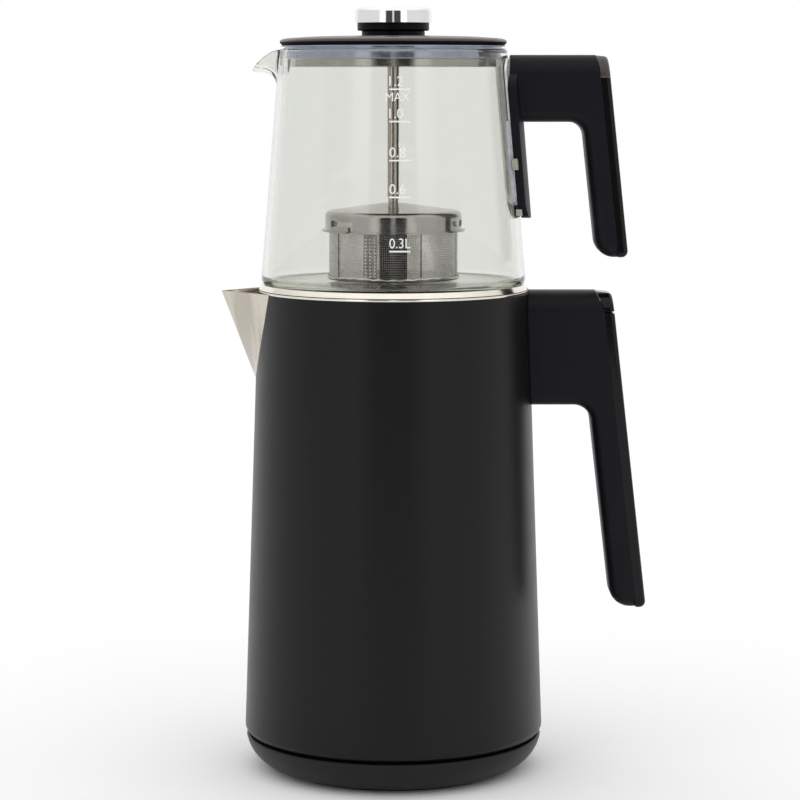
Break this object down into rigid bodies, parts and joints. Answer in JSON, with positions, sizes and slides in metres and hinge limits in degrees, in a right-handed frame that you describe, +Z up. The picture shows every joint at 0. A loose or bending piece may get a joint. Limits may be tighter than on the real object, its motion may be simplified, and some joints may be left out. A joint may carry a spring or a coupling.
{
  "type": "automatic tea maker",
  "caption": "Electric kettle on a round power base with a glass teapot seated on its mouth, two hooked handles, and a lift-up infuser basket under the lid knob.",
  "frame": {"origin": "centre of the foot ring's underside, on the table and on the kettle's axis", "axes": "+Z up along the common axis of base, kettle, teapot and lid; both spouts point to -X and both handles to +X; the cord inlet is at +Y"},
  "size_m": [0.218, 0.1565, 0.3905],
  "materials": {
    "black_plastic": "fine spark texture",
    "foot_rubber": "matte",
    "screw_steel": "plain zinc plated",
    "contact_brass": "satin",
    "inner_plastic": "as moulded",
    "bimetal": "satin",
    "black_coating": "matte black powder coat on steel",
    "brushed_steel": "brushed",
    "polished_steel": "polished stainless steel",
    "heater_aluminium": "die cast",
    "handle_plastic": "matte black, soft touch",
    "gloss_black": "high gloss black",
    "clear_glass": "clear borosilicate glass, printed scale",
    "adhesive": "translucent grey",
    "seal_silicone": "translucent silicone",
    "chrome_trim": "bright chrome plate",
    "mesh_steel": "fine square mesh"
  },
  "bodies": {
    "base": {"base_shell": "black_plastic", "base_bottom_cover": "black_plastic", "base_foot_ring": "foot_rubber", "base_screws": "screw_steel", "base_connector": "black_plastic", "base_contacts": "contact_brass", "base_cord_gland": "black_plastic"},
    "kettle_socket": {"socket_moulding": "inner_plastic", "socket_contacts": "contact_brass", "thermostat_disc": "bimetal"},
    "kettle": {"kettle_shell": "black_coating", "inner_pot": "brushed_steel", "kettle_rim": "polished_steel", "kettle_spout": "polished_steel", "kettle_bottom_cover": "black_plastic", "heater_plate": "heater_aluminium", "kettle_bottom_screws": "screw_steel", "heating_element": "heater_aluminium", "kettle_handle": "handle_plastic", "kettle_handle_strip": "gloss_black", "kettle_handle_bracket": "brushed_steel", "kettle_handle_screws": "screw_steel", "steam_tube": "inner_plastic", "steam_switch": "inner_plastic", "switch_pivot_pin": "screw_steel"},
    "power_switch": {"switch_rocker": "gloss_black"},
    "steam_plate": {"steam_plate": "brushed_steel"},
    "teapot": {"glass_jug": "clear_glass", "handle_adhesive": "adhesive", "teapot_handle_plate": "brushed_steel", "teapot_handle": "handle_plastic", "teapot_handle_screws": "screw_steel", "teapot_handle_strip": "gloss_black", "teapot_handle_top_cap": "gloss_black"},
    "lid": {"lid_cap": "gloss_black", "lid_seal": "seal_silicone", "lid_pan": "brushed_steel", "lid_frame": "inner_plastic", "lid_screws": "screw_steel", "lid_collar": "gloss_black", "lid_bush": "inner_plastic", "detent_ball": "screw_steel", "detent_spring": "screw_steel"},
    "infuser": {"knob_base": "gloss_black", "knob_cap": "chrome_trim", "infuser_rod": "polished_steel", "rod_ferrule": "polished_steel", "rod_nut": "screw_steel", "basket_cover": "polished_steel"},
    "basket": {"basket_rim": "polished_steel", "basket_band": "polished_steel", "basket_mesh": "mesh_steel", "basket_seam": "polished_steel"}
  },
  "joints": [
    {"name": "kettle_lift", "type": "slide", "parent": "base", "child": "kettle_socket", "axis": [0, 0, 1], "range_m": [0, 0.06]},
    {"name": "kettle_swivel", "type": "hinge", "parent": "kettle_socket", "child": "kettle", "pos_m": [0, 0, 0.03], "axis": [0, 0, 1], "continuous": true},
    {"name": "switch_press", "type": "hinge", "parent": "kettle", "child": "power_switch", "pos_m": [0.10045, 0, 0.2405], "axis": [0, 1, 0], "range_deg": [0, 4]},
    {"name": "plate_lift", "type": "slide", "parent": "kettle", "child": "steam_plate", "axis": [0, 0, 1], "range_m": [0, 0.08]},
    {"name": "teapot_lift", "type": "slide", "parent": "steam_plate", "child": "teapot", "axis": [0, 0, 1], "range_m": [0, 0.08]},
    {"name": "lid_lift", "type": "slide", "parent": "teapot", "child": "lid", "axis": [0, 0, 1], "range_m": [0, 0.135]},
    {"name": "infuser_lift", "type": "slide", "parent": "lid", "child": "infuser", "axis": [0, 0, 1], "range_m": [0, 0.047]},
    {"name": "basket_twist", "type": "hinge", "parent": "infuser", "child": "basket", "pos_m": [0, 0, 0.27], "axis": [0, 0, 1], "range_deg": [0, 25]}
  ]
}
